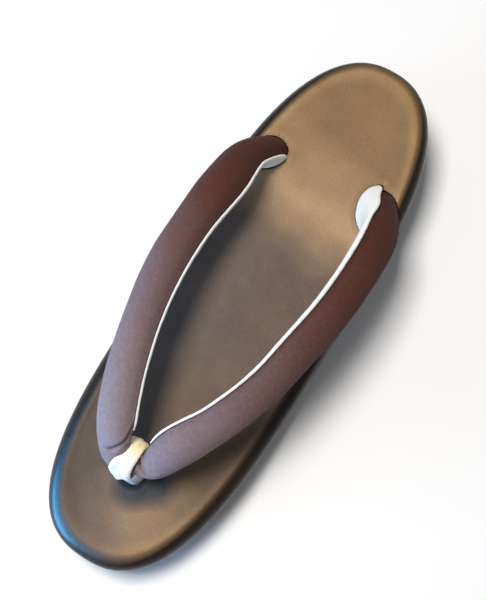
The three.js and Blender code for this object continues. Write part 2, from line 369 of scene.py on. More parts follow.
# Strap rows, in millimetres: x, y, height over the board, half width, roll in degrees
armRows = {
    "right": [
        (-3.6, -81.4, 13.6, 3.8, 45), (5.4, -77.9, 15.8, 6.2, 45), (11.1, -67.4, 26, 8.7, 48),
        (19.5, -52.4, 30.5, 8, 50), (26.8, -32.2, 30.8, 7.8, 52), (30.8, -11.6, 28.8, 8.1, 52),
        (33.8, 9, 25, 8.2, 53), (34.4, 31.2, 19.1, 8.4, 56), (32.6, 49.2, 10.2, 8.9, 64),
        (26.4, 63.2, -3, 9, 98), (24.4, 66.1, -13, 8.6, 104),
    ],
    "left": [
        (0.4, -80.4, 13.8, 4.6, 45), (-8.9, -81, 15.8, 6.6, 42), (-14.7, -70.2, 26, 8.5, 40),
        (-21.3, -53.2, 30.5, 8.6, 39), (-27.2, -32.3, 30.8, 8.5, 39), (-30.8, -11.3, 28.8, 9.1, 40),
        (-31.8, 10.7, 25, 9.3, 40), (-30.8, 32.4, 19.1, 10.3, 40), (-30.6, 49.2, 10.4, 8.7, 45),
        (-26.2, 60.8, -2.5, 8, 64), (-24.8, 63, -13, 7.7, 74),
    ],
}
# crown and belly are shares of the half width; the belly grows by tailBelly near the tail
armForm = {
    "crown": 0.97, "belly": 0.45, "tailBelly": {"right": 0.36, "left": 0.12},
    "tailStart": 0.8, "tailFull": 0.88, "tailFloor": 7.2, "lastShare": 0.955,
}


def throughRows(rows, u):
    # uniform Catmull-Rom line through the rows
    last = len(rows) - 1
    spot = min(max(u, 0.0), 1.0) * last
    i = min(int(spot), last - 1)
    t = spot - i
    p1, p2 = rows[i], rows[i + 1]
    p0 = rows[i - 1] if i > 0 else 2 * rows[0] - rows[1]
    p3 = rows[i + 2] if i + 2 <= last else 2 * rows[last] - rows[last - 1]
    t0, t1 = 0.5 * (p2 - p0), 0.5 * (p3 - p1)
    return p1 + t0 * t + (-3 * p1 + 3 * p2 - 2 * t0 - t1) * t**2 + (2 * p1 - 2 * p2 + t0 + t1) * t**3


def armFrames(side, shares):
    # for each share of the arm's length: centre, half width, belly, crown and edge directions
    turn = 1 if side == "right" else -1
    rows = []
    for x, y, rise, half, roll in armRows[side]:
        rows.append(np.array((x + axisX, y, topHeight(y) + rise, half, roll)))
    near = 1e-4
    frames = []
    for u in shares:
        here = throughRows(rows, u)
        step = throughRows(rows, min(1, u + near))[:3] - throughRows(rows, max(0, u - near))[:3]
        along = step / np.linalg.norm(step)
        up = np.array((0, 0, 1.0)) - along * along[2]
        up /= np.linalg.norm(up)
        out = np.cross(along, up) * turn
        roll = math.radians(here[4])
        crown = up * math.cos(roll) + out * math.sin(roll)
        edge = up * math.sin(roll) - out * math.cos(roll)
        tail = smoothStep(armForm["tailStart"], armForm["tailFull"], u)
        belly = armForm["belly"] + armForm["tailBelly"][side] * tail
        frames.append({
            "u": u, "at": here[:3], "half": here[3], "belly": belly, "crown": crown, "edge": edge,
        })
    return frames


def runLengths(frames):
    # distance along the arm's middle line, up to each frame
    lengths = [0.0]
    for before, here in zip(frames, frames[1:]):
        lengths.append(lengths[-1] + np.linalg.norm(here["at"] - before["at"]))
    return lengths


def sectionPoint(f, angle, grow=0.0):
    # angle 0 is the inner seam, 90 degrees the crown and 180 the outer seam
    depth = f["half"] * (armForm["crown"] if math.sin(angle) > 0 else f["belly"])
    nx, ny = math.cos(angle) / f["half"], math.sin(angle) / depth
    size = math.hypot(nx, ny)
    return (f["at"] + f["edge"] * (f["half"] * math.cos(angle) + grow * nx / size)
            + f["crown"] * (depth * math.sin(angle) + grow * ny / size))


def overBoard(p, floor):
    # tails end inside the board, just over its underside
    return (p[0], p[1], max(p[2], topHeight(p[1]) - floor))


# Toe post: it leans from foot to top, which are x, y and height over the board. Its hole comes first.
post = {
    "top": (-2.6, -83.4, 9.0), "foot": (0.4, -84.6, -7.0), "radius": 4.5,
    "steps": 34, "around": 48, "low": -7.2, "tall": 16.4, "neckStart": 0.86, "neck": 0.45,
    "flutes": 6, "fluteDepth": 0.04, "fluteTwist": 5.4, "lumps": 0.18,
    "room": 0.3, "holeSteps": 16, "holeAround": 40, "holeLow": -7.6, "holeTall": 12.0,
    "lipMiddle": (-0.4, -84.0),
}


def postMiddle(rise):
    share = (rise - post["foot"][2]) / (post["top"][2] - post["foot"][2])
    x = post["foot"][0] + (post["top"][0] - post["foot"][0]) * share + axisX
    y = post["foot"][1] + (post["top"][1] - post["foot"][1]) * share
    return x, y


def postHoleRing(x, y, z):
    radius = post["radius"] + post["room"]
    turns = np.linspace(0, 2 * math.pi, post["holeAround"], endpoint=False)
    return [(x + radius * math.cos(a), y + radius * math.sin(a), z) for a in turns]


def postCutter():
    rings = []
    for k in range(post["holeSteps"] + 1):
        rise = post["holeLow"] + post["holeTall"] * k / post["holeSteps"]
        x, y = postMiddle(rise)
        rings.append(postHoleRing(x, y, topHeight(y) + rise))
    return meshFromRings("cutter_post", rings)


# Pockets that the strap's tails go down into, with more room on the side where the lining lies.
# Degrees are counted under the arm from its inner seam.
pocket = {
    "from": 0.72, "to": 0.985, "steps": 46, "around": 96, "floor": 7.6, "room": 0.42,
    "liningRoom": {"right": 1.85, "left": 1.45}, "liningStart": {"right": -4.0, "left": 36.0},
    "startFade": 8.0, "liningEnd": 186.0, "endFade": 10.0,
}


def pocketCutter(side):
    start, startFade = pocket["liningStart"][side], pocket["startFade"]
    end, endFade = pocket["liningEnd"], pocket["endFade"]
    rings = []
    for f in armFrames(side, np.linspace(pocket["from"], pocket["to"], pocket["steps"])):
        ring = []
        for k in range(pocket["around"]):
            angle = 2 * math.pi * k / pocket["around"]
            under = 360 - math.degrees(angle) if k else 0
            inner = smoothStep(start - startFade, start + startFade, under) if under < 90 else 1.0
            outer = smoothStep(end + endFade, end - endFade, under)
            grow = pocket["room"] + pocket["liningRoom"][side] * inner * outer
            ring.append(overBoard(sectionPoint(f, angle, grow), pocket["floor"]))
        rings.append(ring)
    return meshFromRings("cutter_" + side, rings)


# Foot board: smooth oval with a rounded glossy rim, and leather drawn in round its holes
board = {
    "around": 320, "rings": 72, "ringSpread": 1.05, "lastShare": 0.012, "shoulderSteps": 16,
    "crest": 0.24, "crestWidth": 1.3, "crestRun": 36.0, "crestLumps": 0.6,
    "lumps": [(0.12, 30, 3.1), (0.05, 9, 7.7)],  # height, size and seed
    "reach": 22.0, "lipWidth": 0.8, "ridgeAt": 2.0, "ridgeWidth": 1.4, "leastRidge": 0.35,
    "foldReach": 3.5, "foldStart": (0.3, 2.0), "foldBend": 2.2, "foldBendSize": 12,
    "dip": 0.3, "dipAt": 7.5, "dipWidth": 4.0, "sharpAngle": 48,
    # rounded lower edge: inset, share and height over the underside
    "lowRings": [(2.7, 0.3, 0), (2.7, 0.6, 0), (2.7, 0.85, 0), (1.2, 1, 0), (0.55, 1, 0.15), (0.2, 1, 0.8)],
}
# round each hole: where its ridge is highest, the ridge, the turned-in lip, and its small folds
lips = {
    "right": {"ridgeTurn": 1.2, "ridge": 0.3, "drop": 0.7, "pull": 0.05, "folds": 9},
    "left": {"ridgeTurn": 2.2, "ridge": 0.42, "drop": 0.7, "pull": 0.05, "folds": 9},
    "post": {"ridgeTurn": 4.7, "ridge": 0.2, "drop": 0.8, "pull": 0.1, "folds": 7},
}


def holeContour(cutter):
    # where the cutter's skin goes through the board's upper face
    points = [v.co / mm for v in cutter.data.vertices]
    heights = [p.z - topHeight(p.y) for p in points]
    line = []
    for edge in cutter.data.edges:
        a, b = edge.vertices
        if heights[a] * heights[b] < 0:
            line.append(points[a].lerp(points[b], heights[a] / (heights[a] - heights[b])))
    return line


def holeLip(name, line):
    tree = kdtree.KDTree(len(line))
    for k, p in enumerate(line):
        tree.insert((p.x, p.y, 0), k)
    tree.balance()
    return {"tree": tree, "middle": sum(line, Vector()) / len(line), **lips[name]}


def boardRelief(x, y, holes):
    # height added to the foot board's even upper face
    lift = sum(height * ripple(x, y, 0, size, seed) for height, size, seed in board["lumps"])
    for hole in holes:
        gap = hole["tree"].find((x, y, 0))[2]
        if gap > board["reach"]:
            continue
        turn = math.atan2(y - hole["middle"].y, x - hole["middle"].x)
        facing = 0.5 + 0.5 * math.cos(turn - hole["ridgeTurn"])
        ridge = hole["ridge"] * (board["leastRidge"] + (1 - board["leastRidge"]) * facing)
        bend = board["foldBend"] * ripple(x, y, 0, board["foldBendSize"], 1.3)
        fold = hole["pull"] * math.cos(hole["folds"] * turn + bend)
        lift -= hole["drop"] * bell(gap, 0, board["lipWidth"])
        lift += ridge * bell(gap, board["ridgeAt"], board["ridgeWidth"])
        lift += fold * math.exp(-gap / board["foldReach"]) * smoothStep(*board["foldStart"], gap)
        lift -= board["dip"] * hole["ridge"] * bell(gap, board["dipAt"], board["dipWidth"])
    return lift


def boardRing(angles, inset, share, lift, relief=0.0, holes=()):
    # lift is counted from the even upper face, and relief is the share of its lumps and lips
    ring = []
    for angle in angles:
        x, y = solePoint(angle, inset, share)
        x += axisX
        z = topHeight(y) + lift
        if relief:
            z += relief * boardRelief(x, y, holes)
        ring.append((x, y, z))
    return ring


def makeBoard():
    cutters = {side: pocketCutter(side) for side in ("right", "left")}
    holes = [holeLip(side, holeContour(cutter)) for side, cutter in cutters.items()]
    lipX, lipY = post["lipMiddle"]
    holes.append(holeLip("post", [Vector(p) for p in postHoleRing(lipX + axisX, lipY, 0)]))
    angles = evenAngles(board["around"])
    rings = []
    for inset, share, rise in board["lowRings"]:
        rings.append(boardRing(angles, inset, share, rise - sole["board"]))
    for k in range(board["shoulderSteps"], 0, -1):
        turn = math.pi / 2 * k / board["shoulderSteps"]
        inset = sole["shoulderRun"] * (1 - math.sin(turn))
        drop = sole["shoulderDrop"] * (1 - math.cos(turn))
        near = bell(inset, sole["shoulderRun"], board["crestWidth"])
        lift = board["crest"] * near - drop
        rings.append(boardRing(angles, inset, 1, lift, board["crestLumps"] * near, holes))
    for k in range(board["rings"]):
        share = max(1 - (k / board["rings"]) ** board["ringSpread"], board["lastShare"])
        lift = board["crest"] * bell((1 - share) * board["crestRun"], 0, board["crestWidth"])
        rings.append(boardRing(angles, sole["shoulderRun"], share, lift, 1.0, holes))
    piece = meshFromRings("foot_board", rings)
    cutters["post"] = postCutter()
    for cutter in cutters.values():
        cut = piece.modifiers.new("cut", "BOOLEAN")
        cut.operation = "DIFFERENCE"
        cut.solver = "EXACT"
        cut.object = cutter
        applyModifiers(piece)
    for cutter in cutters.values():
        bpy.data.objects.remove(cutter)
    shadeSmooth(piece)
    piece.data.set_sharp_from_angle(angle=math.radians(board["sharpAngle"]))
    return piece


footBoard = makeBoard()
place(footBoard, "sole_leather", "top_board")

# Wedge: leather pulled round the side, with soft gathers at toe and heel
wedge = {
    "around": 320, "rows": 22, "swell": 0.35, "slope": 0.85, "leastInset": 1.3,
    "gather": 0.16, "gatherDegrees": 3.4, "gatherSlant": 1.2,
    "lowEdge": (0.9, 0.07), "highEdge": (0.5, 0.05),  # how far each is rounded, and its share of the height
    "under": [(5.6, 0.3), (5.6, 0.6), (5.6, 0.85), (4.6, 1)],  # inset and share of each ring
    "over": [(2.7, 0.85), (2.7, 0.6), (2.7, 0.3)],
}


def edgeRound(edge, level):
    depth, reach = edge
    return depth * (1 - math.sqrt(max(0, 1 - (1 - min(1, level / reach)) ** 2)))


def wedgeRing(angles, inset, share, level, gather=0.0):
    # level runs from 0 at the outsole to 1 at the foot board
    ring = []
    for angle in angles:
        x, y = solePoint(angle, inset, share)
        low = groundHeight(y) + sole["outsole"] + sole["seam"]
        high = topHeight(y) - sole["board"] - sole["seam"]
        if gather:
            depth = gather * (0.5 + 0.5 * abs(math.cos(angle)) ** 3)
            spot = math.degrees(angle) / wedge["gatherDegrees"]
            wrinkle = ripple(spot, level * wedge["gatherSlant"], 0, 1, 4.4)
            x, y = solePoint(angle, inset - depth * wrinkle * (1 - level), share)
        ring.append((x + axisX, y, low + (high - low) * level))
    return ring


def makeWedge():
    angles = evenAngles(wedge["around"])
    lowInset = sole["wedgeInset"] + sole["wedgeTaper"]
    rings = [wedgeRing(angles, inset, share, 0) for inset, share in wedge["under"]]
    for k in range(wedge["rows"] + 1):
        level = k / wedge["rows"]
        inset = lowInset + (sole["wedgeInset"] - lowInset) * level ** wedge["slope"]
        inset += edgeRound(wedge["lowEdge"], level) + edgeRound(wedge["highEdge"], 1 - level)
        inset -= wedge["swell"] * math.sin(math.pi * level)
        rings.append(wedgeRing(angles, max(inset, wedge["leastInset"]), 1, level, wedge["gather"]))
    rings += [wedgeRing(angles, inset, share, 1) for inset, share in wedge["over"]]
    return meshFromRings("wedge", rings)


wedgePiece = makeWedge()
place(wedgePiece, "sole_leather", "sole_body")

# Outsole: thin rubber with a ribbed underside
tread = {
    "around": 320, "pitch": 6.0, "depth": 0.45, "bow": 0.02, "grooveStart": 0.72, "grooveFull": 0.96,
    "inset": 1.0, "shares": [0.02] + [k / 110 for k in range(3, 108)], "fade": (1.0, 0.93),
    "lowEdge": [(0.6, 0), (0.18, 0.18), (0, 0.6)],  # inset, and height over the underside
    "highEdge": [(0, -0.3), (0.25, 0)],  # inset, and height over the upper face
    "upperShares": (0.9, 0.6, 0.3),
}


def groove(x, y):
    # cross ribs of the underside, bowed a little
    wave = 0.5 + 0.5 * math.cos(2 * math.pi * (y + tread["bow"] * x * x) / tread["pitch"])
    return tread["depth"] * smoothStep(tread["grooveStart"], tread["grooveFull"], wave)


def treadRing(angles, inset, share, rise, grooved=False):
    ring = []
    for angle in angles:
        x, y = solePoint(angle, sole["outsoleInset"] + inset, share)
        z = groundHeight(y) + rise
        if grooved:
            z += groove(x, y) * smoothStep(*tread["fade"], share)
        ring.append((x + axisX, y, z))
    return ring


def makeOutsole():
    angles = evenAngles(tread["around"])
    rings = [treadRing(angles, tread["inset"], share, 0, True) for share in tread["shares"]]
    rings += [treadRing(angles, inset, 1, rise) for inset, rise in tread["lowEdge"]]
    rings += [treadRing(angles, inset, 1, sole["outsole"] + rise) for inset, rise in tread["highEdge"]]
    rings += [treadRing(angles, tread["inset"], share, sole["outsole"]) for share in tread["upperShares"]]
    return meshFromRings("rubber_outsole", rings)


outsolePiece = makeOutsole()
place(outsolePiece, "outsole", "outsole")
print("sole done")

# Strap arms: stuffed cloth, drawn in along the seam and gathered at its ends
pad = {
    "stations": 280, "noseStations": 90, "noseEnd": 0.18, "around": 56, "girth": 13.8 * math.pi,
    "seamPull": 0.5, "seamWidth": 16.0, "lumps": 0.22, "lumpSize": 13.0, "seed": {"right": 5.0, "left": 9.0},
    "gatherPitch": 4.4, "gatherDepth": 0.16, "gatherWidth": 26.0, "gatherBend": 2.5, "evenGather": 0.35,
    "gathers": [(1.3, 0.0, 0.16), (1.5, 0.93, 0.1)],  # at nose and tail: strength, place and width
    "foldOpens": (-14, 6), "foldCloses": (16, -6),  # degrees from the ends of a fold's path
    "roll": (0.35, 2.3, 1.6),  # beside a fold: share of its depth, then place and width in its own widths
}
# folds pressed in by the loop: the path of each as degrees and share, its depth, and its width in shares
tucks = {
    "left": {
        "path": [(-4, 0.19), (12, 0.164), (24, 0.156), (48, 0.144), (66, 0.139)],
        "depth": 1.8, "width": 0.006,
    },
    "right": {
        "path": [(20, 0.042), (50, 0.062), (76, 0.078), (96, 0.094)],
        "depth": 3.0, "width": 0.012,
    },
}


def tuckRelief(side, u, degrees):
    # a sharp valley along the fold, with a low roll of cloth on its heel side
    tuck = tucks[side]
    turn = degrees if degrees < 270 else degrees - 360
    angles, shares = zip(*tuck["path"])
    opening = smoothStep(*pad["foldOpens"], turn - angles[0])
    closing = smoothStep(*pad["foldCloses"], turn - angles[-1])
    gap = (u - float(np.interp(turn, angles, shares))) / tuck["width"]
    height, at, width = pad["roll"]
    return tuck["depth"] * opening * closing * (height * bell(gap, at, width) - bell(gap, 0, 1))


def armPoint(side, f, angle, run):
    u = f["u"]
    p = sectionPoint(f, angle)
    out = sectionPoint(f, angle, 1.0) - p
    degrees = math.degrees(angle)
    toSeam = min(abs(degrees), abs(degrees - 180), abs(degrees - 360))
    relief = -pad["seamPull"] * bell(toSeam, 0, pad["seamWidth"])
    # small gathers where the cloth is sewn, strongest at both ends
    ends = pad["evenGather"] + sum(most * bell(u, at, width) for most, at, width in pad["gathers"])
    phase = 2 * math.pi * run / pad["gatherPitch"] + pad["gatherBend"] * ripple(run, degrees / 30, 0, 9, 2.0)
    relief += pad["gatherDepth"] * ends * bell(toSeam, 0, pad["gatherWidth"]) * math.sin(phase)
    relief += pad["lumps"] * ripple(*p, pad["lumpSize"], pad["seed"][side])
    relief += tuckRelief(side, u, degrees)
    return p + out * relief


def layCloth(piece, runs, count):
    # cloth coordinates in metres: along the piece, and round it by the girth of one arm
    layer = piece.data.uv_layers.new(name="cloth")
    total = len(runs) * count
    for poly in piece.data.polygons:
        marks = [piece.data.loops[k].vertex_index for k in poly.loop_indices]
        columns = [m % count if m < total else None for m in marks]
        high = max((c for c in columns if c is not None), default=0)
        for k, mark, column in zip(poly.loop_indices, marks, columns):
            if column is None:
                layer.data[k].uv = (0, 0)
                continue
            if column == 0 and high > count / 2:
                column = count
            layer.data[k].uv = (runs[mark // count] * mm, column / count * pad["girth"] * mm)


def makeArm(side):
    nose = np.linspace(0.0, pad["noseEnd"], pad["noseStations"])
    rest = np.linspace(pad["noseEnd"], armForm["lastShare"], pad["stations"] - pad["noseStations"])
    frames = armFrames(side, np.concatenate((nose, rest[1:])))
    runs = runLengths(frames)
    angles = [2 * math.pi * k / pad["around"] for k in range(pad["around"])]
    rings = []
    for f, run in zip(frames, runs):
        rings.append([overBoard(armPoint(side, f, angle, run), armForm["tailFloor"]) for angle in angles])
    piece = meshFromRings("strap_" + side, rings)
    layCloth(piece, runs, pad["around"])
    return piece


arms = {side: makeArm(side) for side in ("right", "left")}
for side, piece in arms.items():
    place(piece, "strap_cloth", "strap")

# Lining: white cloth under each arm, its folded edge showing along the seam
lining = {
    "stations": 240, "across": 23, "foldSteps": 6, "gap": 0.2, "bulge": 7.0, "puff": 0.1, "floor": 7.3,
    "wave": 0.96, "wavePitch": 5.1, "waveBend": 2.0, "waveFade": (0.82, 0.74),
    "first": {"right": 0.168, "left": 0.186}, "last": 0.95, "taper": (-0.002, 0.018), "leastThick": 0.35,
    "wrap": {"right": 11.0, "left": 15.0},  # degrees between the seam and the folded edge
    "thick": {"right": (0.95, 1.75), "left": (0.85, 1.0)}, "thicken": (0.2, 0.75),  # at toe and tail
    # by the hole the edge comes up to the seam, or draws back: degrees, then place and width in shares
    "nearHole": {"right": (11.0, 0.84, 0.03), "left": (-32.0, 0.925, 0.035)},
}


def liningRing(side, f, run):
    # out along the near side, round one folded edge, back along the far side and round the other
    u = f["u"]
    toeThick, tailThick = lining["thick"][side]
    near = lining["gap"]
    far = near + toeThick + (tailThick - toeThick) * smoothStep(*lining["thicken"], u)
    taper = smoothStep(*lining["taper"], u - lining["first"][side])
    middle = (near + far) / 2
    half = (far - near) / 2 * (lining["leastThick"] + (1 - lining["leastThick"]) * taper)
    most, spot, width = lining["nearHole"][side]
    start = math.radians(lining["wrap"][side] - most * bell(u, spot, width))
    stop = math.pi - math.radians(lining["wrap"][side])
    span = np.linspace(start, stop, lining["across"])
    turns = [math.pi * k / lining["foldSteps"] for k in range(1, lining["foldSteps"])]
    phase = 2 * math.pi * run / lining["wavePitch"] + lining["waveBend"] * ripple(run, 0, 0, 11, 6.0)
    wave = lining["wave"] * math.sin(phase) * smoothStep(*lining["waveFade"], u)
    points = [sectionPoint(f, -a, middle - half) for a in span]
    for turn in turns:
        bulge = math.radians(lining["bulge"]) * math.sin(turn)
        points.append(sectionPoint(f, -(stop + bulge), middle - half * math.cos(turn)))
    for a in span[::-1]:
        puff = lining["puff"] * ripple(run, math.degrees(a) / 9, 0, 6, 8.0)
        points.append(sectionPoint(f, -a, middle + half + puff))
    for turn in turns:
        bulge = math.radians(lining["bulge"] + wave) * math.sin(turn)
        points.append(sectionPoint(f, -(start - bulge), middle + half * math.cos(turn)))
    return [overBoard(p, lining["floor"]) for p in points]


def makeLining(side):
    frames = armFrames(side, np.linspace(lining["first"][side], lining["last"], lining["stations"]))
    runs = runLengths(frames)
    rings = [liningRing(side, f, run) for f, run in zip(frames, runs)]
    piece = meshFromRings("lining_cloth_" + side, rings)
    layCloth(piece, runs, len(rings[0]))
    return piece


linings = {side: makeLining(side) for side in ("right", "left")}
for side, piece in linings.items():
    place(piece, "lining_cloth", "lining_" + side)

# Toe loop: a folded cloth band round the joined noses, and the stuffed post under it
band = {
    "middle": (-3.2, -80.2, 14.6), "inner": (6.5, 6.1), "thick": 1.9, "lean": 0.5, "room": 0.05,
    "around": 120, "across": 20, "half": 3.3, "leftGrow": 2.0, "rightGrow": 1.6,
    "folds": 0.3, "lumps": 0.25, "shoulder": 2.1, "belly": 2.0,
}


def bandPoint(turn, across, outer):
    # turn 0 is the top, growing towards the toe; across runs from -1 to 1. It is wider on the toe side.
    back = smoothStep(5.6, 4.0, turn)
    lower = smoothStep(0.5, 2.1, turn) * back
    leftWider = band["leftGrow"] * smoothStep(-0.3, 0.8, turn) * back
    rightWider = band["rightGrow"] * lower
    half = band["half"] + (leftWider if across < 0 else rightWider)
    if outer:
        edge = math.sqrt(max(0.0, 1 - across * across))
        fold = math.cos(across * 7.5 + 1.1 * math.sin(turn * 1.7))
        grow = band["thick"] * (0.25 + 0.75 * edge)
        grow += band["folds"] * fold * edge * (0.4 + 0.6 * lower)
        grow += band["lumps"] * ripple(across * 3, turn * 3, 0, 1.4, 2.2) * edge
    else:
        grow = band["room"]
    # fuller at the upper left, and in the middle of its toe side
    grow += band["shoulder"] * smoothStep(-0.1, -0.9, across) * bell(turn, 0.8, 0.5)
    grow += band["belly"] * bell(across, -0.15, 0.75) * bell(turn, 1.95, 0.6)
    middleX, middleY, rise = band["middle"]
    x = middleX + across * half + band["lean"] * math.cos(turn)
    y = middleY - (band["inner"][0] + grow) * math.sin(turn)
    z = topHeight(middleY) + rise + (band["inner"][1] + grow) * math.cos(turn)
    return (x + axisX, y, z)


def makeBand():
    steps = range(band["across"] + 1)
    spots = [math.cos(math.pi * i / band["across"]) for i in steps]
    rings = []
    for k in range(band["around"]):
        turn = 2 * math.pi * k / band["around"]
        outside = [bandPoint(turn, -spot, True) for spot in spots]
        inside = [bandPoint(turn, spot, False) for spot in spots[1:-1]]
        rings.append(outside + inside)
    return meshFromRings("toe_band", rings, closed=True)


def makePost():
    rings = []
    for k in range(post["steps"] + 1):
        share = k / post["steps"]
        rise = post["low"] + post["tall"] * share
        x, y = postMiddle(rise)
        neck = 1.0 - post["neck"] * smoothStep(post["neckStart"], 1.0, share) ** 2
        ring = []
        for i in range(post["around"]):
            a = 2 * math.pi * i / post["around"]
            flute = 1 - post["fluteDepth"] * math.cos(post["flutes"] * a + post["fluteTwist"] * share)
            lump = post["lumps"] * ripple(math.cos(a) * 2, math.sin(a) * 2, share * 4, 1.1, 3.0)
            radius = post["radius"] * neck * flute + lump
            ring.append((x + radius * math.cos(a), y + radius * math.sin(a), topHeight(y) + rise))
        rings.append(ring)
    return meshFromRings("toe_post", rings)


toeBand, toePost = makeBand(), makePost()
for piece in (toeBand, toePost):
    soften = piece.modifiers.new("soften", "SUBSURF")
    soften.levels = soften.render_levels = 1
    applyModifiers(piece)
    shadeSmooth(piece)
    place(piece, "loop_cloth", "toe_loop")
print("strap done")

# Leather: satin bronze, with colours along the foot board from toe to heel, painted shade in the middle
# under the straps, painted highlights on the toe, between the tails and along the crest, painted shadow
# round the loop's foot, and a rim painted dark as its dark reflection
leather = {
    # toe is the colour of a painted highlight on the toe
    "toeSide": (0.107, 0.06, 0.021), "toe": (0.27, 0.163, 0.075), "middle": (0.098, 0.06, 0.038),
    # the rim colour is painted dark, standing in for the dark reflection on the rounded edge
    "highlightBetweenTails": (0.34, 0.213, 0.105), "heel": (0.226, 0.139, 0.067), "rim": (0.017, 0.0122, 0.0083),
    "shadow": (0.022, 0.019, 0.015), "run": 0.1225,  # half the length that the colours run over, in metres
    "rimStart": 6.1, "rimFull": 4.0, "grain": 1400,
    "boardRough": 0.6, "rimRough": 0.34, "sideRough": 0.36,
    # painted spots on the board, a highlight on the toe and shadows round the loop's foot: x, y, the
    # distance to which each is full, and the distance at which it ends
    "toeHighlight": (12, -103, 6, 31), "shadows": [(2.5, -88.5, 5.5, 11.5), (11, -84, 3, 10)],
    # painted shade, tinted blue, darkening the left of the toe
    "toeLeftShade": [(0.0, (0.5, 0.56, 0.75)), (0.45, (0.68, 0.72, 0.92)), (1.0, (1, 1, 1))],
    "toeLeftShadeSlant": 0.75, "toeLeftShadeRun": (-0.115, -0.055),
    # a painted highlight along the crest just inside the rim
    "crestHighlight": [(0.0, (1, 1, 1)), (0.6, (1.3, 1.27, 1.2)), (1.0, (1, 1, 1))], "crestRun": (0.8, 1.08),
}


def spotShare(paint, x, y, full, none):
    # 1 within the first distance of a spot on the board, in millimetres, and 0 beyond the second
    node = paint.add("ShaderNodeVectorMath", operation="DISTANCE")
    paint.join(paint.coords.outputs["Object"], node.inputs[0])
    node.inputs[1].default_value = ((x + axisX) * mm, y * mm, topHeight(y) * mm)
    return paint.spread(node.outputs["Value"], full * mm, none * mm, 1, 0)


def ovalValue(paint):
    # the oval's own formula: 1 where the rim's dark edge starts, and more outside it
    x = paint.maths("ABSOLUTE", paint.maths("SUBTRACT", paint.axis("X"), axisX * mm))
    y = paint.axis("Y")
    heel = paint.maths("GREATER_THAN", y, 0)
    tip = paint.spread(heel, 0, 1, sole["toeRound"][0], sole["heelRound"][0])
    flank = paint.spread(heel, 0, 1, sole["toeRound"][1], sole["heelRound"][1])
    inset = leather["rimStart"]
    across = paint.maths("DIVIDE", x, (sole["width"] / 2 - inset) * mm)
    along = paint.maths("DIVIDE", paint.maths("ABSOLUTE", y), (sole["length"] / 2 - inset) * mm)
    return paint.maths("ADD", paint.maths("POWER", across, tip), paint.maths("POWER", along, flank))


def rimShare(paint, oval):
    # 0 on the foot's side of the rim and 1 on its rounded edge
    full = (sole["width"] / 2 - leather["rimFull"]) / (sole["width"] / 2 - leather["rimStart"])
    return paint.spread(oval, 1, full ** sole["toeRound"][0], 0, 1)


def boardTint(paint, oval, rim):
    along = paint.spread(paint.axis("Y"), -leather["run"], leather["run"], 0, 1)
    # colours along the board: the middle stops are painted shade under the straps, and the stop at 0.74,
    # between the tails, is a painted highlight
    tint = paint.ramp(paint.maths("ADD", along, paint.wander(14, 3, -0.07, 0.07)), [
        (0.0, leather["toeSide"]), (0.26, leather["toeSide"]), (0.42, leather["middle"]),
        (0.6, leather["middle"]), (0.74, leather["highlightBetweenTails"]), (0.88, leather["heel"]),
        (1.0, leather["heel"]),
    ])
    # a painted highlight down the middle of the toe, in the toe colour
    toeHighlight = paint.maths("ADD", spotShare(paint, *leather["toeHighlight"]), paint.wander(40, 3, -0.08, 0.08))
    tint = paint.blend(toeHighlight, tint, leather["toe"])
    # painted shadow round the loop's foot, and painted shade, tinted blue, at the left of the toe
    for spot in leather["shadows"]:
        tint = paint.blend(spotShare(paint, *spot), tint, leather["shadow"])
    # painted shade at the left of the toe, tinted blue
    slant = paint.maths("MULTIPLY", paint.axis("Y"), leather["toeLeftShadeSlant"])
    corner = paint.spread(paint.maths("ADD", paint.axis("X"), slant), *leather["toeLeftShadeRun"], 0, 1)
    toeLeftShade = paint.ramp(corner, leather["toeLeftShade"], "EASE")
    tint = paint.blend(1.0, tint, toeLeftShade, "MULTIPLY")
    # a painted highlight along the crest just inside the rim
    crestHighlight = paint.ramp(paint.spread(oval, *leather["crestRun"], 0, 1), leather["crestHighlight"], "EASE")
    tint = paint.blend(1.0, tint, crestHighlight, "MULTIPLY")
    # the rounded edge is painted dark, as the dark reflection it shows
    return paint.blend(rim, tint, leather["rim"])


def finishLeather(paint, tint, satin):
    # soft clouds, fine specks and grain
    cloud = paint.mottle(46, 4, (0.86, 0.85, 0.85), (1.1, 1.09, 1.07), 0.6)
    tint = paint.blend(1.0, tint, cloud, "MULTIPLY")
    speck = paint.ramp(paint.cells(1500), [(0.1, grey(0.8)), (0.6, grey(1.08))])
    paint.colour(paint.blend(0.7, tint, speck, "MULTIPLY"))
    paint.rough(paint.maths("ADD", satin, paint.wander(220, 3, -0.05, 0.06)))
    paint.fix(Coat_Weight=0.03, Coat_Roughness=0.25, Specular_IOR_Level=0.22)
    paint.bump((paint.cells(leather["grain"]), 0.00009, 0.55), (paint.noise(420, 4, 0.6), 0.00012, 0.5),
               (paint.noise(60, 2), 0.0004, 0.2))
    return paint


def footLeather():
    paint = Paint("foot_leather")
    oval = ovalValue(paint)
    rim = rimShare(paint, oval)
    satin = paint.spread(rim, 0, 1, leather["boardRough"], leather["rimRough"])
    return finishLeather(paint, boardTint(paint, oval, rim), satin)


def sideLeather():
    paint = Paint("side_leather")
    # the sides take the rim's painted dark, standing in for a dark reflection, mottled a little lighter and
    # darker
    dark, light = (tuple(share * v for v in leather["rim"]) for share in (0.8, 1.2))
    return finishLeather(paint, paint.mottle(30, 3, dark, light), leather["sideRough"])


wear(footLeather(), footBoard)
wear(sideLeather(), wedgePiece)


# Rubber: matt black
def rubber():
    paint = Paint("rubber")
    paint.colour(paint.mottle(120, 4, (0.012, 0.011, 0.010), (0.026, 0.023, 0.021)))
    paint.rough(paint.wander(300, 2, 0.62, 0.82))
    paint.bump((paint.noise(900, 3), 0.0001, 0.5), (paint.cells(700), 0.00006, 0.4))
    return paint


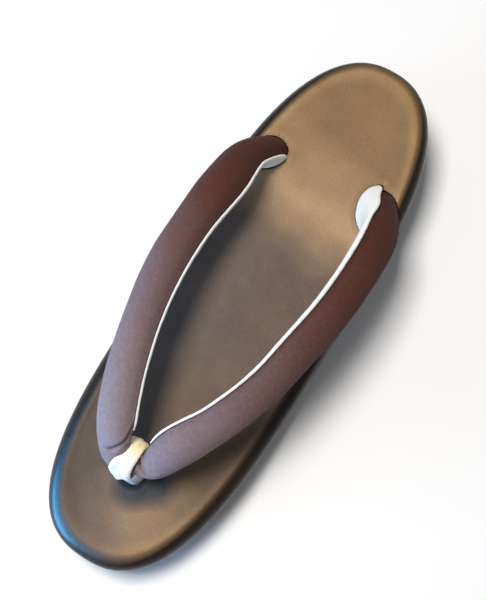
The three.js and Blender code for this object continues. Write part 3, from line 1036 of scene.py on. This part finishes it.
wear(rubber(), outsolePiece)

# Cloths; a run is where the colour starts and ends along the sandal, in metres.
# The strap is dyed from lavender grey at the toe to maroon at the heel, aslant near the toe, where the left
# arm is painted lighter and the right arm darker, as light falling from the left makes them.
strapDyeAndLight = {
    "run": (-0.088, 0.076), "slant": 0.5, "slantRun": (-0.01, 0.03), "threads": 520, "threadTurn": 38,
    "stops": [
        (0.0, (0.27, 0.22, 0.235)), (0.15, (0.22, 0.165, 0.17)), (0.29, (0.175, 0.12, 0.125)),
        (0.42, (0.14, 0.082, 0.076)), (0.66, (0.09, 0.034, 0.026)), (0.85, (0.07, 0.025, 0.017)),
        (1.0, (0.058, 0.02, 0.013)),
    ],
}
# the loop is white cloth, cool white at the toe and painted cream towards the back and top as warm light
# falling there
loopWhiteAndWarmLight = {
    "run": (-0.0885, -0.0715),
    "stops": [
        (0.0, (0.84, 0.88, 0.89)), (0.45, (0.9, 0.89, 0.8)), (0.75, (0.93, 0.79, 0.47)),
        (1.0, (0.88, 0.7, 0.36)),
    ],
}
liningDye = {"light": (0.93, 0.95, 0.94), "shade": (0.86, 0.87, 0.85), "threads": 600}


def strapCloth():
    # fine crepe weave, laid at an angle
    paint = Paint("strap_cloth")
    # painted light: shifted along x, the left arm is lighter and the right darker, as lit from the left
    share = paint.spread(paint.axis("Y"), *strapDyeAndLight["slantRun"], strapDyeAndLight["slant"], 0)
    slant = paint.maths("MULTIPLY", paint.axis("X"), share)
    along = paint.spread(paint.maths("ADD", paint.axis("Y"), slant), *strapDyeAndLight["run"], 0, 1)
    dyeAndLight = paint.ramp(paint.maths("ADD", along, paint.wander(30, 3, -0.03, 0.03)), strapDyeAndLight["stops"])
    weave = paint.weave(strapDyeAndLight["threads"], strapDyeAndLight["threadTurn"], 1.2)
    fleck = paint.ramp(weave, [(0.0, grey(0.8)), (0.6, (1.16, 1.14, 1.16))])
    tint = paint.blend(0.8, dyeAndLight, fleck, "MULTIPLY")
    slub = paint.ramp(paint.noise(700, 2), [(0.32, (0.86, 0.86, 0.87)), (0.68, grey(1.12))])
    paint.colour(paint.blend(0.8, tint, slub, "MULTIPLY"))
    paint.fix(Roughness=0.88, Specular_IOR_Level=0.08,
              Sheen_Weight=0.05, Sheen_Roughness=0.5, Sheen_Tint=(0.8, 0.72, 0.85, 1))
    paint.bump((weave, 0.00016, 0.7), (paint.noise(1100, 3), 0.0001, 0.5),
               (paint.noise(160, 2), 0.0003, 0.25))
    return paint


def liningCloth():
    paint = Paint("lining_cloth")
    soft = paint.mottle(60, 4, liningDye["shade"], liningDye["light"])
    weave = paint.weave(liningDye["threads"], 0, 0.8)
    fleck = paint.ramp(weave, [(0.0, grey(0.88)), (0.5, grey(1.03))])
    paint.colour(paint.blend(0.7, soft, fleck, "MULTIPLY"))
    paint.fix(Roughness=0.85, Sheen_Weight=0.2, Sheen_Roughness=0.5, Specular_IOR_Level=0.2)
    paint.bump((weave, 0.00012, 0.5), (paint.noise(500, 3), 0.00012, 0.5))
    return paint


def loopCloth():
    paint = Paint("loop_cloth")
    # white cloth with painted warm light: cream at the back and top
    tint = paint.ramp(paint.spread(paint.axis("Y"), *loopWhiteAndWarmLight["run"], 0, 1), loopWhiteAndWarmLight["stops"])
    nap = paint.mottle(520, 3, grey(0.9), grey(1.04))
    paint.colour(paint.blend(0.8, tint, nap, "MULTIPLY"))
    paint.fix(Roughness=0.85, Sheen_Weight=0.25, Sheen_Roughness=0.5, Specular_IOR_Level=0.2)
    paint.bump((paint.noise(800, 3), 0.00014, 0.6), (paint.noise(240, 2), 0.0003, 0.3))
    return paint


wear(strapCloth(), *arms.values())
wear(liningCloth(), *linings.values())
wear(loopCloth(), toeBand, toePost)
print("materials done")

# Floor and light, in metres; the floor lies a little below the sole, so that the two don't share a face
room = {"half": 3.0, "drop": 0.00005, "colour": (0.93, 0.95, 1.0), "power": 0.24}
# lamps that stand by the camera's own axes: across, up and back from what they face
lamps = {
    "key": {"from": (-0.25, 0.36, 1.1), "size": (0.4, 0.36), "power": 14.5, "colour": (1.0, 0.97, 0.92)},
    "sky": {"from": (-1.0, -0.4, 0.16), "size": (0.5, 0.3), "power": 19.0, "colour": (0.28, 0.55, 1.0)},
}
lampAim = (0.0, 0.0, 0.03)
# a small pane close to the toe, seen only as a blue line on the rim
gleam = {
    "at": (-0.13, -0.22, 0.09), "aim": (-0.02, -0.11, 0.025),
    "size": (0.2, 0.1), "power": 3.0, "colour": (0.05, 0.47, 1.0),
}


def makeFloor():
    half, low = room["half"], -room["drop"]
    mesh = bpy.data.meshes.new("floor")
    corners = [(-half, -half, low), (half, -half, low), (half, half, low), (-half, half, low)]
    mesh.from_pydata(corners, [], [(0, 1, 2, 3)])
    floor = bpy.data.objects.new("floor", mesh)
    bpy.context.scene.collection.objects.link(floor)
    paint = Paint("floor")
    paint.colour(paint.mottle(3, 2, grey(0.86), grey(0.9)))
    paint.fix(Roughness=0.9, Specular_IOR_Level=0.1)
    wear(paint, floor)


def addLight(name, values, at, aim):
    data = bpy.data.lights.new(name, "AREA")
    data.shape = "RECTANGLE"
    data.size, data.size_y = values["size"]
    data.energy = values["power"]
    data.color = values["colour"]
    light = bpy.data.objects.new(name, data)
    light.location = at
    light.rotation_euler = (at - aim).to_track_quat("Z", "Y").to_euler()
    light.visible_camera = False
    bpy.context.scene.collection.objects.link(light)
    return light


def addLamps():
    right, up, back = cameraAxes()
    aim = Vector(lampAim)
    for name, values in lamps.items():
        across, rise, away = values["from"]
        addLight(name, values, aim + right * across + rise * up + back * away, aim)
    pane = addLight("gleam", gleam, Vector(gleam["at"]), Vector(gleam["aim"]))
    pane.visible_diffuse = False


def addWorld():
    world = bpy.data.worlds.new("studio")
    bpy.context.scene.world = world
    world.use_nodes = True
    background = next(n for n in world.node_tree.nodes if n.type == "BACKGROUND")
    background.inputs["Color"].default_value = (*room["colour"], 1)
    background.inputs["Strength"].default_value = room["power"]
    bpy.context.scene.view_settings.view_transform = "Standard"


makeFloor()
addLamps()
addWorld()
print("light done")
